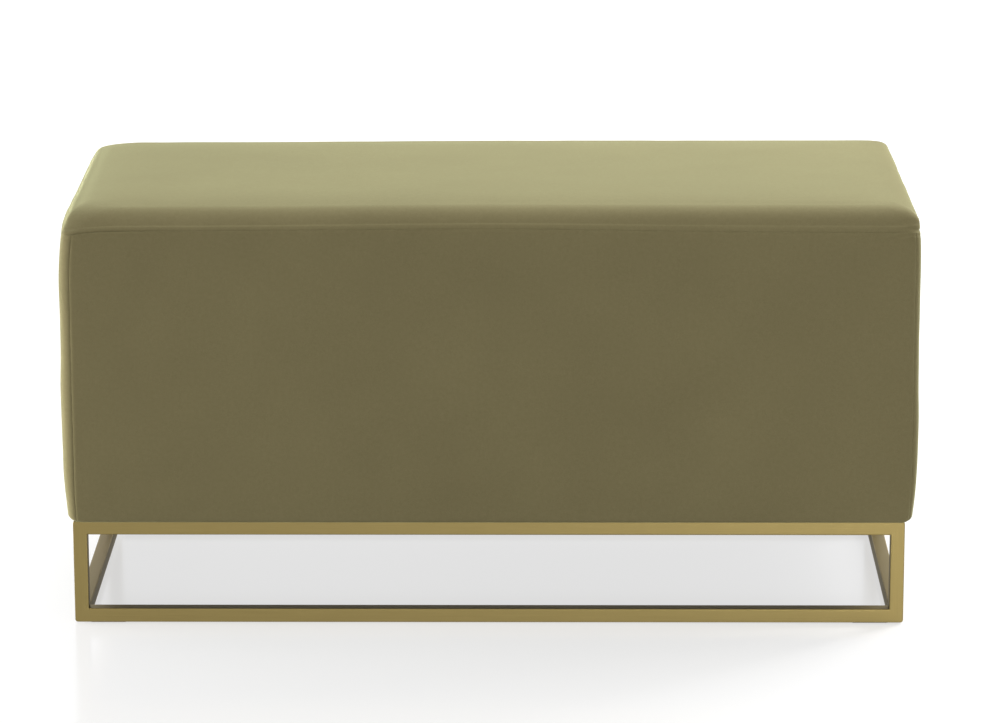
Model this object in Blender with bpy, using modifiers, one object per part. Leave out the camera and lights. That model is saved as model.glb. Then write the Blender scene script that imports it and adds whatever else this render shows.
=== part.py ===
"""Upholstered stool: a velvet-covered box seat on a welded base of square tube.

Metres, +Z up. The front faces -Y, and the origin is on the floor under the middle of the seat.
"""
import math

import bmesh
import bpy
from mathutils import Matrix, Vector

# Overall sizes, over the cover and with the stool standing on its pads
SEAT_WIDTH = 0.900
SEAT_DEPTH = 0.400
SEAT_TOP = 0.450
BASE_HEIGHT = 0.113
CLEARANCE = 0.0003

# Base of square tube
TUBE = 0.015
TUBE_WALL = 0.0012
TUBE_CORNER = 0.0012
SEAT_OVERHANG = 0.010
WELD_GAP = 0.0004
PLATE_THICKNESS = 0.0025
PLATE_EDGE = 0.012
PLATE_CHAMFER = 0.010
PAD_THICKNESS = 0.001
PAD_LENGTH = 0.040
PAD_MARGIN = 0.004

# Seat bolts and the T-nuts that take them
BOLT_RADIUS = 0.003
BOLT_HEAD_RADIUS = 0.00525
BOLT_HEAD_HEIGHT = 0.0033
BOLT_SOCKET_RADIUS = 0.002
BOLT_SOCKET_DEPTH = 0.002
NUT_BARREL_RADIUS = 0.004
NUT_BARREL_LENGTH = 0.009
NUT_FLANGE_RADIUS = 0.009
NUT_FLANGE_THICKNESS = 0.0015
NUT_TO_BLOCK = 0.002

# Wooden carcass
BOARD = 0.012
DECK = 0.015
CORNER_BLOCK = 0.025

# Foam and cover
SEAT_FOAM = 0.050
SIDE_FOAM = 0.010
COVER = 0.0015
DUST_COVER = 0.0008
CORNER_RADIUS = 0.012
CROWN = 0.002
TOP_ROUND_DEPTH = 0.036
TOP_ROUND_HEIGHT = 0.018
SEAM_LIP = 0.002
SEAM_GAP = 0.0003
SEAM_DRAW_IN = 0.0015
SEAM_DRAW_HEIGHT = 0.025
SEAM_FROM_CORNER = 0.001
BOTTOM_ROUND = 0.014
BOTTOM_DRAW_IN = 0.0035
BOTTOM_DRAW_HEIGHT = 0.090
FLAP_REACH = 0.034

# Facets of the rounded shapes
CORNER_STEPS = 6
ROUND_STEPS = 6
DRAW_STEPS = 4
CROWN_STEPS = 4
TURNED_STEPS = 16

# Heights that several pieces share
FRAME_BOTTOM = PAD_THICKNESS + CLEARANCE
COVER_BOTTOM = BASE_HEIGHT + CLEARANCE
BOARD_BOTTOM = COVER_BOTTOM + COVER + CLEARANCE
BOARD_TOP = BOARD_BOTTOM + BOARD
DECK_TOP = SEAT_TOP - COVER - CLEARANCE - SEAT_FOAM - CLEARANCE
DECK_BOTTOM = DECK_TOP - DECK
TOP_EDGE = SEAT_TOP - CROWN
SEAM_HEIGHT = TOP_EDGE - TOP_ROUND_HEIGHT - SEAM_LIP

# Plan sizes that several pieces share
FRAME_WIDTH = SEAT_WIDTH - 2 * SEAT_OVERHANG
FRAME_DEPTH = SEAT_DEPTH - 2 * SEAT_OVERHANG
BOX_INSET = COVER + CLEARANCE + SIDE_FOAM + CLEARANCE
BOX_X = SEAT_WIDTH / 2 - BOX_INSET
BOX_Y = SEAT_DEPTH / 2 - BOX_INSET
INSIDE_X = BOX_X - BOARD - CLEARANCE
INSIDE_Y = BOX_Y - BOARD - CLEARANCE
BOLT_FROM_INSIDE = CORNER_BLOCK + NUT_TO_BLOCK + NUT_FLANGE_RADIUS
BOLT_X = INSIDE_X - BOLT_FROM_INSIDE
BOLT_Y = INSIDE_Y - BOLT_FROM_INSIDE
BOLT_HOLE_RADIUS = BOLT_RADIUS + CLEARANCE

# Left and right, front and back
ENDS = (("left", -1), ("right", 1))
SIDES = (("front", -1), ("back", 1))


def clear_scene():
    for old in list(bpy.data.objects):
        bpy.data.objects.remove(old, do_unlink=True)


def make_collection(name):
    collection = bpy.data.collections.new(name)
    bpy.context.scene.collection.children.link(collection)
    return collection


def make_material(name, colour, roughness, metallic=0.0):
    material = bpy.data.materials.new(name)
    material.use_nodes = True
    shader = material.node_tree.nodes["Principled BSDF"]
    shader.inputs["Base Color"].default_value = (*colour, 1.0)
    shader.inputs["Roughness"].default_value = roughness
    shader.inputs["Metallic"].default_value = metallic
    material.diffuse_color = (*colour, 1.0)
    return material


def make_part(name, bm, material, location=(0, 0, 0), rotation=(0, 0, 0), smooth=False):
    mesh = bpy.data.meshes.new(name)
    bm.to_mesh(mesh)
    bm.free()
    mesh.materials.append(material)
    if smooth:
        mesh.shade_smooth()
        mesh.set_sharp_from_angle(angle=math.radians(40))
    part = bpy.data.objects.new(name, mesh)
    part.location = location
    part.rotation_euler = rotation
    PARTS.objects.link(part)
    return part


def make_cutter(name, bm, location=(0, 0, 0), rotation=(0, 0, 0)):
    mesh = bpy.data.meshes.new(name)
    bm.to_mesh(mesh)
    bm.free()
    cutter = bpy.data.objects.new(name, mesh)
    cutter.location = location
    cutter.rotation_euler = rotation
    cutter.hide_render = True
    cutter.display_type = "WIRE"
    CUTTERS.objects.link(cutter)
    return cutter


def cut(part, cutter, operation="DIFFERENCE"):
    boolean = part.modifiers.new(cutter.name, "BOOLEAN")
    boolean.operation = operation
    boolean.object = cutter


def block(size):
    """A box of the given size, centred on its own origin."""
    bm = bmesh.new()
    bmesh.ops.create_cube(bm, size=1.0, matrix=Matrix.Diagonal((*size, 1.0)))
    return bm


def add_box(name, low, high, material):
    """A plain board or sheet between two opposite corners."""
    low = Vector(low)
    high = Vector(high)
    return make_part(name, block(high - low), material, location=(low + high) / 2)


def post_cutter(name, radius, low, high, x, y):
    """An upright round cutter."""
    bm = bmesh.new()
    bmesh.ops.create_cone(
        bm, cap_ends=True, segments=TURNED_STEPS, radius1=radius, radius2=radius, depth=high - low)
    return make_cutter(name, bm, location=(x, y, (low + high) / 2))


def turned(name, profile, material, location, closed):
    """A turned piece: a profile of radius and height points with a Screw modifier."""
    bm = bmesh.new()
    points = [bm.verts.new((radius, 0, height)) for radius, height in profile]
    for first, second in zip(points, points[1:]):
        bm.edges.new((first, second))
    if closed:
        bm.edges.new((points[-1], points[0]))
    part = make_part(name, bm, material, location=location)
    screw = part.modifiers.new("turn", "SCREW")
    screw.axis = "Z"
    screw.angle = 2 * math.pi
    screw.steps = TURNED_STEPS
    screw.render_steps = TURNED_STEPS
    screw.use_merge_vertices = True
    screw.merge_threshold = 0.00001
    return part


def square_tube(name, length, material, location, rotation, mitred):
    """A length of square tube along its own X, open at both ends. A mitred one is longest along its own +Z side."""
    bm = block((length, TUBE, TUBE))
    if mitred:
        for vert in bm.verts:
            if vert.co.z < 0:
                vert.co.x -= math.copysign(TUBE, vert.co.x)
    long_edges = [
        edge for edge in bm.edges
        if edge.verts[0].co.x * edge.verts[1].co.x < 0
    ]
    bmesh.ops.bevel(bm, geom=long_edges, offset=TUBE_CORNER, segments=2, profile=0.5, affect="EDGES")
    tube = make_part(name, bm, material, location, rotation)
    bore = block((length + TUBE, TUBE - 2 * TUBE_WALL, TUBE - 2 * TUBE_WALL))
    cut(tube, make_cutter(name + "_bore", bore, location, rotation))
    return tube


def build_base_loop(side, direction):
    """The front or back loop: two rails and two posts, mitred together."""
    y = direction * (FRAME_DEPTH - TUBE) / 2
    rail = FRAME_WIDTH - WELD_GAP
    post = BASE_HEIGHT - FRAME_BOTTOM - WELD_GAP
    upper = BASE_HEIGHT - TUBE / 2
    lower = FRAME_BOTTOM + TUBE / 2
    middle = (upper + lower) / 2
    square_tube(side + "_upper_rail", rail, GOLD, (0, y, upper), (0, 0, 0), True)
    square_tube(side + "_lower_rail", rail, GOLD, (0, y, lower), (math.pi, 0, 0), True)
    for end, hand in ENDS:
        x = hand * (FRAME_WIDTH - TUBE) / 2
        square_tube(f"{side}_{end}_post", post, GOLD, (x, y, middle), (0, hand * math.pi / 2, 0), True)


def build_side_rails(end, hand):
    """The two rails between the loops at one end of the base."""
    x = hand * (FRAME_WIDTH - TUBE) / 2
    length = FRAME_DEPTH - 2 * TUBE - 2 * CLEARANCE
    turn = (0, 0, math.pi / 2)
    square_tube(end + "_upper_rail", length, GOLD, (x, 0, BASE_HEIGHT - TUBE / 2), turn, False)
    square_tube(end + "_lower_rail", length, GOLD, (x, 0, FRAME_BOTTOM + TUBE / 2), turn, False)


def build_pad(side, direction, end, hand):
    """A felt pad under the lower rail, one tube in from its end."""
    size = (PAD_LENGTH, TUBE - 2 * PAD_MARGIN, PAD_THICKNESS)
    x = hand * (FRAME_WIDTH / 2 - TUBE - PAD_LENGTH / 2)
    y = direction * (FRAME_DEPTH - TUBE) / 2
    make_part(f"floor_pad_{side}_{end}", block(size), FELT, location=(x, y, PAD_THICKNESS / 2))


def build_fixing(side, direction, end, hand):
    """A corner plate with its bolt and the T-nut in the bottom board."""
    corner = f"{side}_{end}"
    x = hand * BOLT_X
    y = direction * BOLT_Y
    outer = Vector((FRAME_WIDTH / 2 - TUBE - CLEARANCE, FRAME_DEPTH / 2 - TUBE - CLEARANCE))
    inner = Vector((BOLT_X - PLATE_EDGE, BOLT_Y - PLATE_EDGE))
    middle = (outer + inner) / 2
    size = outer - inner
    plate_bottom = BASE_HEIGHT - PLATE_THICKNESS
    bm = block((size.x, size.y, PLATE_THICKNESS))
    inner_edge = [
        edge for edge in bm.edges
        if all(vert.co.x * hand < 0 and vert.co.y * direction < 0 for vert in edge.verts)
    ]
    bmesh.ops.bevel(bm, geom=inner_edge, offset=PLATE_CHAMFER, segments=1, profile=0.5, affect="EDGES")
    place = (hand * middle.x, direction * middle.y, plate_bottom + PLATE_THICKNESS / 2)
    plate = make_part("corner_plate_" + corner, bm, GOLD, location=place)
    bolt_hole = post_cutter("bolt_hole_" + corner, BOLT_HOLE_RADIUS, FRAME_BOTTOM, BOARD_BOTTOM, x, y)
    cut(plate, bolt_hole)
    cut(bpy.data.objects["dust_cover"], bolt_hole)

    head_top = plate_bottom - CLEARANCE
    head_bottom = head_top - BOLT_HEAD_HEIGHT
    bolt = [
        (0, BOARD_TOP),
        (BOLT_RADIUS, BOARD_TOP),
        (BOLT_RADIUS, head_top),
        (BOLT_HEAD_RADIUS, head_top),
        (BOLT_HEAD_RADIUS, (head_top + head_bottom) / 2),
        ((BOLT_HEAD_RADIUS + BOLT_SOCKET_RADIUS) / 2, head_bottom),
        (BOLT_SOCKET_RADIUS, head_bottom),
        (BOLT_SOCKET_RADIUS, head_bottom + BOLT_SOCKET_DEPTH),
        (0, head_bottom + BOLT_SOCKET_DEPTH),
    ]
    turned("seat_bolt_" + corner, bolt, STEEL, (x, y, 0), closed=False)

    barrel_bottom = BOARD_TOP - NUT_BARREL_LENGTH
    flange_bottom = BOARD_TOP + CLEARANCE
    flange_top = flange_bottom + NUT_FLANGE_THICKNESS
    nut = [
        (BOLT_HOLE_RADIUS, flange_top),
        (NUT_FLANGE_RADIUS, flange_top),
        (NUT_FLANGE_RADIUS, flange_bottom),
        (NUT_BARREL_RADIUS, flange_bottom),
        (NUT_BARREL_RADIUS, barrel_bottom),
        (BOLT_HOLE_RADIUS, barrel_bottom),
    ]
    turned("t_nut_" + corner, nut, STEEL, (x, y, 0), closed=True)
    nut_hole = post_cutter(
        "nut_hole_" + corner, NUT_BARREL_RADIUS + CLEARANCE, COVER_BOTTOM, BOARD_TOP + BOARD, x, y)
    cut(bpy.data.objects["bottom_board"], nut_hole)


def build_carcass(skin):
    """The wooden box inside the seat."""
    bottom = add_box("bottom_board", (-BOX_X, -BOX_Y, BOARD_BOTTOM), (BOX_X, BOX_Y, BOARD_TOP), PLY)
    cut(bottom, skin, "INTERSECT")
    low = BOARD_TOP + CLEARANCE
    high = DECK_BOTTOM - CLEARANCE
    add_box("front_panel", (-BOX_X, -BOX_Y, low), (BOX_X, BOARD - BOX_Y, high), PLY)
    add_box("back_panel", (-BOX_X, BOX_Y - BOARD, low), (BOX_X, BOX_Y, high), PLY)
    add_box("left_panel", (-BOX_X, -INSIDE_Y, low), (BOARD - BOX_X, INSIDE_Y, high), PLY)
    add_box("right_panel", (BOX_X - BOARD, -INSIDE_Y, low), (BOX_X, INSIDE_Y, high), PLY)
    add_box("centre_rib", (-BOARD / 2, -INSIDE_Y, low), (BOARD / 2, INSIDE_Y, high), PLY)
    for side, direction in SIDES:
        for end, hand in ENDS:
            place = (
                hand * (INSIDE_X - CORNER_BLOCK / 2),
                direction * (INSIDE_Y - CORNER_BLOCK / 2),
                (low + high) / 2,
            )
            bm = block((CORNER_BLOCK, CORNER_BLOCK, high - low))
            make_part(f"corner_block_{side}_{end}", bm, PINE, location=place)
    add_box("seat_deck", (-BOX_X, -BOX_Y, DECK_BOTTOM), (BOX_X, BOX_Y, DECK_TOP), PLY)


def build_foam(skin):
    """The foam between the carcass and the cover, each piece trimmed to the inside of the cover."""
    over_x = SEAT_WIDTH
    over_y = SEAT_DEPTH
    inner_x = BOX_X + CLEARANCE
    inner_y = BOX_Y + CLEARANCE
    low = BOARD_BOTTOM
    boxes = {
        "seat_foam": ((-over_x, -over_y, DECK_TOP + CLEARANCE), (over_x, over_y, SEAT_TOP)),
        "front_foam": ((-over_x, -over_y, low), (over_x, -inner_y, DECK_TOP)),
        "back_foam": ((-over_x, inner_y, low), (over_x, over_y, DECK_TOP)),
        "left_foam": ((-over_x, -BOX_Y, low), (-inner_x, BOX_Y, DECK_TOP)),
        "right_foam": ((inner_x, -BOX_Y, low), (over_x, BOX_Y, DECK_TOP)),
    }
    for name, corners in boxes.items():
        cut(add_box(name, *corners, FOAM), skin, "INTERSECT")


def wall_profile():
    """The lower cover from its stapled edge up to the seam, as inset from the widest line and height."""
    centre = BOTTOM_DRAW_IN + BOTTOM_ROUND
    points = []
    for step in range(ROUND_STEPS + 1):
        angle = math.pi / 2 * step / ROUND_STEPS
        inset = centre - BOTTOM_ROUND * math.sin(angle)
        points.append((inset, COVER_BOTTOM + BOTTOM_ROUND * (1 - math.cos(angle))))
    for step in range(1, DRAW_STEPS + 1):
        share = step / DRAW_STEPS
        height = COVER_BOTTOM + BOTTOM_ROUND + BOTTOM_DRAW_HEIGHT * share
        points.append((BOTTOM_DRAW_IN * (1 - share) ** 3, height))
    for step in range(DRAW_STEPS + 1):
        share = step / DRAW_STEPS
        height = SEAM_HEIGHT - SEAM_DRAW_HEIGHT * (1 - share)
        points.append((SEAM_DRAW_IN * share ** 2, height))
    return points


def top_profile():
    """The top panel from the seam up over its rounded edge."""
    lip = SEAM_HEIGHT + SEAM_LIP
    points = [(SEAM_DRAW_IN, SEAM_HEIGHT)]
    for step in range(ROUND_STEPS + 1):
        angle = math.pi / 2 * step / ROUND_STEPS
        inset = SEAM_DRAW_IN + TOP_ROUND_DEPTH * (1 - math.cos(angle))
        points.append((inset, lip + TOP_ROUND_HEIGHT * math.sin(angle)))
    return points


def offset_profile(points, distance):
    """A profile moved inwards by a distance, square to itself."""
    path = [Vector(point) for point in points]
    moved = []
    for index, point in enumerate(path):
        normals = []
        if index > 0:
            along = (point - path[index - 1]).normalized()
            normals.append(Vector((along.y, -along.x)))
        if index < len(path) - 1:
            along = (path[index + 1] - point).normalized()
            normals.append(Vector((along.y, -along.x)))
        normal = sum(normals, Vector((0, 0))).normalized()
        moved.append(point + normal * (distance / normal.dot(normals[0])))
    return moved


def corner_points(inset, radius, hand, direction):
    """One rounded corner of the seat's outline, anticlockwise seen from above."""
    centre_x = hand * (SEAT_WIDTH / 2 - inset - radius)
    centre_y = direction * (SEAT_DEPTH / 2 - inset - radius)
    start = math.atan2(direction, hand) - math.pi / 4
    points = []
    for step in range(CORNER_STEPS + 1):
        angle = start + math.pi / 2 * step / CORNER_STEPS
        points.append((centre_x + radius * math.cos(angle), centre_y + radius * math.sin(angle)))
    return points


def outline(inset, radius):
    """The seat's whole outline at an inset, anticlockwise from the front right corner."""
    corners = ((1, -1), (1, 1), (-1, 1), (-1, -1))
    return [point for hand, direction in corners for point in corner_points(inset, radius, hand, direction)]


def crown_rings(rim, height):
    """Shrinking copies of the top's rim that rise to the crown."""
    rings = []
    for step in range(1, CROWN_STEPS + 1):
        scale = 1 - step / (CROWN_STEPS + 1)
        rise = CROWN * (1 - (1 - step / CROWN_STEPS) ** 2)
        rings.append([(x * scale, y * scale, height + rise) for x, y in rim])
    return rings


def loft(rows, closed, cap_top=False, cap_bottom=False):
    """Faces between rows of points that lie one above the other, facing out when rows run anticlockwise."""
    bm = bmesh.new()
    grid = [[bm.verts.new(point) for point in row] for row in rows]
    for lower, upper in zip(grid, grid[1:]):
        count = len(lower)
        for index in range(count if closed else count - 1):
            after = (index + 1) % count
            bm.faces.new((lower[index], lower[after], upper[after], upper[index]))
    if cap_top:
        bm.faces.new(grid[-1])
    if cap_bottom:
        bm.faces.new(list(reversed(grid[0])))
    return bm


def build_skin():
    """The space inside the cover, which trims the foam and the bottom board."""
    depth = COVER + CLEARANCE
    radius = CORNER_RADIUS - depth
    profile = offset_profile(wall_profile()[:-1] + top_profile(), depth)
    rows = [[(x, y, height) for x, y in outline(inset, radius)] for inset, height in profile]
    rim_inset, rim_height = profile[-1]
    rows += crown_rings(outline(rim_inset, radius), rim_height)
    return make_cutter("cover_inside", loft(rows, closed=True, cap_top=True, cap_bottom=True))


def thicken(panel):
    """Gives a cover panel the cloth's thickness, inwards."""
    solid = panel.modifiers.new("cloth", "SOLIDIFY")
    solid.thickness = COVER
    solid.offset = -1.0
    solid.use_even_offset = True


def build_cover():
    """The five sewn panels."""
    wall = wall_profile()
    flap = [(FLAP_REACH, COVER_BOTTOM)]
    seam = [(wall[-1][0], SEAM_HEIGHT - SEAM_GAP)]
    rings = flap + wall[:-1] + seam

    for side, direction in SIDES:
        rows = []
        for inset, height in rings:
            run = SEAT_WIDTH / 2 - inset - CORNER_RADIUS - SEAM_FROM_CORNER - SEAM_GAP
            y = direction * (SEAT_DEPTH / 2 - inset)
            rows.append([(direction * run, y, height), (-direction * run, y, height)])
        thicken(make_part(side + "_cover", loft(rows, closed=False), VELVET, smooth=True))

    for end, hand in ENDS:
        rows = []
        for inset, height in rings:
            first = corner_points(inset, CORNER_RADIUS, hand, -hand)
            second = corner_points(inset, CORNER_RADIUS, hand, hand)
            around = first + second
            start = (around[0][0] - hand * SEAM_FROM_CORNER, around[0][1])
            finish = (around[-1][0] - hand * SEAM_FROM_CORNER, around[-1][1])
            rows.append([(x, y, height) for x, y in [start, *around, finish]])
        thicken(make_part(end + "_cover", loft(rows, closed=False), VELVET, smooth=True))

    profile = top_profile()
    rows = [[(x, y, height) for x, y in outline(inset, CORNER_RADIUS)] for inset, height in profile]
    rows += crown_rings(outline(profile[-1][0], CORNER_RADIUS), TOP_EDGE)
    thicken(make_part("top_cover", loft(rows, closed=True, cap_top=True), VELVET, smooth=True))


def build_dust_cover():
    """The thin cloth under the bottom board, inside the stapled edges of the cover."""
    top = BOARD_BOTTOM - CLEARANCE
    edge = outline(FLAP_REACH + CLEARANCE, CORNER_RADIUS)
    rows = [[(x, y, height) for x, y in edge] for height in (top - DUST_COVER, top)]
    make_part("dust_cover", loft(rows, closed=True, cap_top=True, cap_bottom=True), DUST_CLOTH)


clear_scene()
PARTS = make_collection("upholstered_stool")
CUTTERS = make_collection("cutters")
GOLD = make_material("brushed_gold", (0.40, 0.29, 0.12), 0.35, 1.0)
STEEL = make_material("zinc_steel", (0.55, 0.55, 0.56), 0.40, 1.0)
FELT = make_material("brown_felt", (0.10, 0.07, 0.05), 0.95)
PLY = make_material("plywood", (0.55, 0.40, 0.24), 0.70)
PINE = make_material("pine", (0.62, 0.46, 0.27), 0.70)
FOAM = make_material("foam", (0.75, 0.68, 0.45), 0.90)
VELVET = make_material("olive_velvet", (0.150, 0.126, 0.062), 0.85)
DUST_CLOTH = make_material("black_dust_cloth", (0.02, 0.02, 0.02), 0.95)

for side_name, side_direction in SIDES:
    build_base_loop(side_name, side_direction)
for end_name, end_hand in ENDS:
    build_side_rails(end_name, end_hand)
cover_inside = build_skin()
build_carcass(cover_inside)
build_foam(cover_inside)
build_cover()
build_dust_cover()
for side_name, side_direction in SIDES:
    for end_name, end_hand in ENDS:
        build_pad(side_name, side_direction, end_name, end_hand)
        build_fixing(side_name, side_direction, end_name, end_hand)
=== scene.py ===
"""Looks of the upholstered stool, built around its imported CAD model.

Metres, +Z up, in the frame of the CAD model: the front faces -Y and the floor is at zero.
"""

import math

import bmesh
import bpy
import numpy as np
from mathutils import Matrix, Vector


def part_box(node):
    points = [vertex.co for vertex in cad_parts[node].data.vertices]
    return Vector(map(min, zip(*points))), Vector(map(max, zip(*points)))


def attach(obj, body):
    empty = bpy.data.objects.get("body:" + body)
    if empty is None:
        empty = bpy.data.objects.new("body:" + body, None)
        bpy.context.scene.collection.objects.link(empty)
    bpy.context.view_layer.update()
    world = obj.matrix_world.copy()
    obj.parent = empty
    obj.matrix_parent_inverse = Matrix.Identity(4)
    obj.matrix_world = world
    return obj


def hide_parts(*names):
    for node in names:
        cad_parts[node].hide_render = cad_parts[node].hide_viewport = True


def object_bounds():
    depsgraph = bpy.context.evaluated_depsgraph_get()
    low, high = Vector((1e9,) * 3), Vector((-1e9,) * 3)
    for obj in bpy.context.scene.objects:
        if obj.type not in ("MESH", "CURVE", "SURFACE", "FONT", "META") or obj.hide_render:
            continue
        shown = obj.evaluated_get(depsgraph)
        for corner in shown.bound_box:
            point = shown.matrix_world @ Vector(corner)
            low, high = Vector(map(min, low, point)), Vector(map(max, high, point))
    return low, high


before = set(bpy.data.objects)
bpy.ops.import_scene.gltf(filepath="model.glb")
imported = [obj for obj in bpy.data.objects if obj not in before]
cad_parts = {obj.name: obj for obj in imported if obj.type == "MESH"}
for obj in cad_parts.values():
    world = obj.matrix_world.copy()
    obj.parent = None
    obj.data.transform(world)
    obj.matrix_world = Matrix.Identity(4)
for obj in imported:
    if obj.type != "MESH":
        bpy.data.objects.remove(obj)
cad_low, cad_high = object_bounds()
scene = bpy.context.scene
scene.view_settings.view_transform = "Standard"

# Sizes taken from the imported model
HALF_WIDTH = cad_high.x
HALF_DEPTH = cad_high.y
SEAM_RAISE = 0.0034
SEAM_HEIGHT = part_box("top_cover")[0].z + SEAM_RAISE
COVER_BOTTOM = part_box("front_cover")[0].z
DECK_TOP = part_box("seat_deck")[1].z
BOARD_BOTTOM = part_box("bottom_board")[0].z
FRAME_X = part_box("right_upper_rail")[1].x
FRAME_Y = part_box("back_upper_rail")[1].y
FRAME_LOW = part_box("front_lower_rail")[0].z
FRAME_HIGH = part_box("front_upper_rail")[1].z
TUBE = FRAME_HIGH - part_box("front_upper_rail")[0].z

# Shape of the cover: that of the CAD model, with its edges a few millimetres fuller
CORNER_RADIUS = 0.012
LEFT_CORNER_RADIUS = 0.015
LEFT_RIM_RADIUS = 0.038
RIGHT_RIM_RADIUS = 0.018
CROWN = 0.0018
FRONT_CROWN = 4
END_CROWN = 14
RIM_HEIGHT = 0.0198
FRONT_ROUND = 0.038
FRONT_RISE = 0.0315
FRONT_LEAN = 0.90
LEFT_ROUND = 0.028
LEFT_RISE = 0.0146
LEFT_LEAN = 0.526
RIGHT_ROUND = 0.030
RIGHT_RISE = 0.0141
RIGHT_LEAN = 0.0
SEAM_DRAW_IN = 0.0015
SEAM_DRAW_HEIGHT = 0.025
BOTTOM_ROUND = 0.0085
BOTTOM_DRAW_IN = 0.0028
FRONT_BOTTOM_ROUND = 0.0042
FRONT_BOTTOM_DRAW_IN = 0.0014
BOTTOM_DRAW_HEIGHT = 0.100
BOTTOM_DRAW_POWER = 5.5
FLAP_REACH = 0.034
SEAT_SHIFT = 0.0012
SEAT_SKEW = 0.008
SEAT_TAPER = 0.0064
SEAT_TURN = 0.0026
PROFILE_STEPS = 48
NORMAL_STEP = 0.0015
COLUMN_STEP = 0.25

# Grid that the cloth simulation works on
CELLS_ALONG = 96
CELLS_ACROSS = 42
CELLS_ROUND = 8
WALL_ROWS = 40
RIM_ROWS = 7

# Cloth simulation: the cover starts a little slack, and the padding behind it never lets it go further in
SWELL = 0.0006
SWELL_LIMIT = 0.0011
SIM_FRAMES = 20
SMOOTHING = 10
HELD_BELOW = 0.002
FREE_OVER = 0.020
CLOTH_SETTINGS = {
    "quality": 6,
    "mass": 0.3,
    "tension_stiffness": 30,
    "compression_stiffness": 30,
    "shear_stiffness": 15,
    "bending_stiffness": 2,
    "use_pressure": True,
    "uniform_pressure_force": 4.0,
    "vertex_group_mass": "pins",
}

# Sewn edges and the cloth's unevenness
CLOTH = 0.0012
ROLL = 0.0042
ROLL_DEPTH = 0.0009
UPRIGHT_SEAM = 0.85
BEAD_HEIGHT = 0.0005
BEAD_WIDTH = 0.0077
BEAD_FALL = 0.0022
BEAD_STEPS = 9
PAST_BEAD = (1.1, 1.4)
END_SEAM = 0.75
CORNER_SEAM = 1.2
CORNER_SEAM_REACH = 0.09
ROLL_STEPS = 5
BEND_PAST = 0.0030
BEND_STEPS = 16
BEND_APART = 0.001
SKIRT = 0.0012
FINE_STEP = 0.0045
RIM_STEP = 0.0022
FINE_FOLD = 2
PUCKER_HEIGHT = 0.00016
PUCKER_REACH = 0.007
PUCKER_LENGTH = 0.017
PUCKER_DRIFTS = ((1.7, 0.13), (1.1, 0.31))
PUCKER_MEAN = 0.55
PUCKER_CHANGE = 0.077
END_PUCKERS = 0.7
WAVES = 40
WAVE_HEIGHT = 0.00030
WAVE_SHORTEST = 0.045
WAVE_LONGEST = 0.220
TOP_CALM = 0.8
GATHER_HEIGHT = 0.00050
GATHER_PITCH = 0.0068
GATHER_ALONG = 0.020
GATHER_UP = 0.010
GATHER_INSET = 0.012
GATHER_SLANT = 0.25
GATHER_PHASE = 1.3

# Where three seams meet at the left corners, the cover is drawn in and down
PULL_REACH = 0.034
PULL_IN = 0.0030
PULL_DOWN = 0.0040
PULL_ASIDE = 0.3
BACK_PULL_IN = 0.0016
BACK_PULL_DOWN = 0.0014

# The top seam runs lower towards the two ends, and on the left the edge above it hangs lower still
SEAM_SAG_LEFT = 0.0036
SEAM_SAG_RIGHT = 0.0034
SEAM_SAG_LENGTH = 0.20
LEFT_SAG_REACH = 0.016
LEFT_SAG_ABOVE = 0.012
LEFT_SAG_BACK = 0.4
RIGHT_SAG_REACH = 0.010

# Low down at the right end the padding has slumped
SLUMP = 0.0015
SLUMP_HEIGHT = 0.20
SLUMP_REACH = 0.07

random = np.random.default_rng(7)


# Mesh helpers

def new_object(name, data):
    """A piece, a lamp or the camera, in the scene."""
    made = bpy.data.objects.new(name, data)
    scene.collection.objects.link(made)
    return made


def new_piece(name, points, faces):
    """A mesh object from points, or a grid of points, and faces."""
    mesh = bpy.data.meshes.new(name)
    mesh.from_pydata(np.reshape(points, (-1, 3)).tolist(), [], np.asarray(faces).tolist())
    mesh.validate()
    mesh.shade_smooth()
    return new_object(name, mesh)


def piece_from_bmesh(name, bm, sharp_angle):
    """A mesh object, smooth but for edges above an angle in degrees."""
    mesh = bpy.data.meshes.new(name)
    bm.to_mesh(mesh)
    bm.free()
    mesh.shade_smooth()
    mesh.set_sharp_from_angle(angle=math.radians(sharp_angle))
    return new_object(name, mesh)


def finish_piece(piece, material, slot, *nodes):
    """Gives a piece its material and body, and hides the CAD nodes that it stands for. The slot is not
    used.
    """
    piece.data.materials.append(material)
    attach(piece, "root")
    if nodes:
        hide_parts(*nodes)
    return piece


def thicken(piece, thickness):
    """Makes a surface a sheet, inwards from where it is."""
    solid = piece.modifiers.new("thickness", "SOLIDIFY")
    solid.thickness = thickness


def vectors_of(items, name):
    """One vector of each item, such as the places of a mesh's points."""
    flat = np.empty(len(items) * 3)
    items.foreach_get(name, flat)
    return flat.reshape(-1, 3)


def numbered(grid):
    """Point numbers for a grid of points."""
    return np.arange(grid[..., 0].size).reshape(grid.shape[:2])


def grid_faces(index, closed=False):
    """Quads between the rows of an array of point numbers."""
    after = np.roll(index, -1, axis=1)
    columns = index.shape[1] if closed else index.shape[1] - 1
    quads = np.stack((index[:-1], after[:-1], after[1:], index[1:]), axis=-1)
    return quads[:, :columns].reshape(-1, 4)


def spline(values, places, axis, closed=False):
    """Smooth values along one axis of an array, at places counted in its steps."""
    count = values.shape[axis]
    base = np.floor(places).astype(int)
    if not closed:
        base = np.clip(base, 0, count - 2)
    shape = [1] * values.ndim
    shape[axis] = len(places)
    share = (places - base).reshape(shape)

    def neighbour(step):
        wanted = base + step
        wanted = wanted % count if closed else np.clip(wanted, 0, count - 1)
        return np.take(values, wanted, axis=axis)

    before, first, second, beyond = (neighbour(step) for step in (-1, 0, 1, 2))
    cubic = 3 * (first - second) + beyond - before
    square = 2 * before - 5 * first + 4 * second - beyond
    return first + 0.5 * share * (second - before + share * (square + share * cubic))


# Outline and profile of the cover

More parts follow.
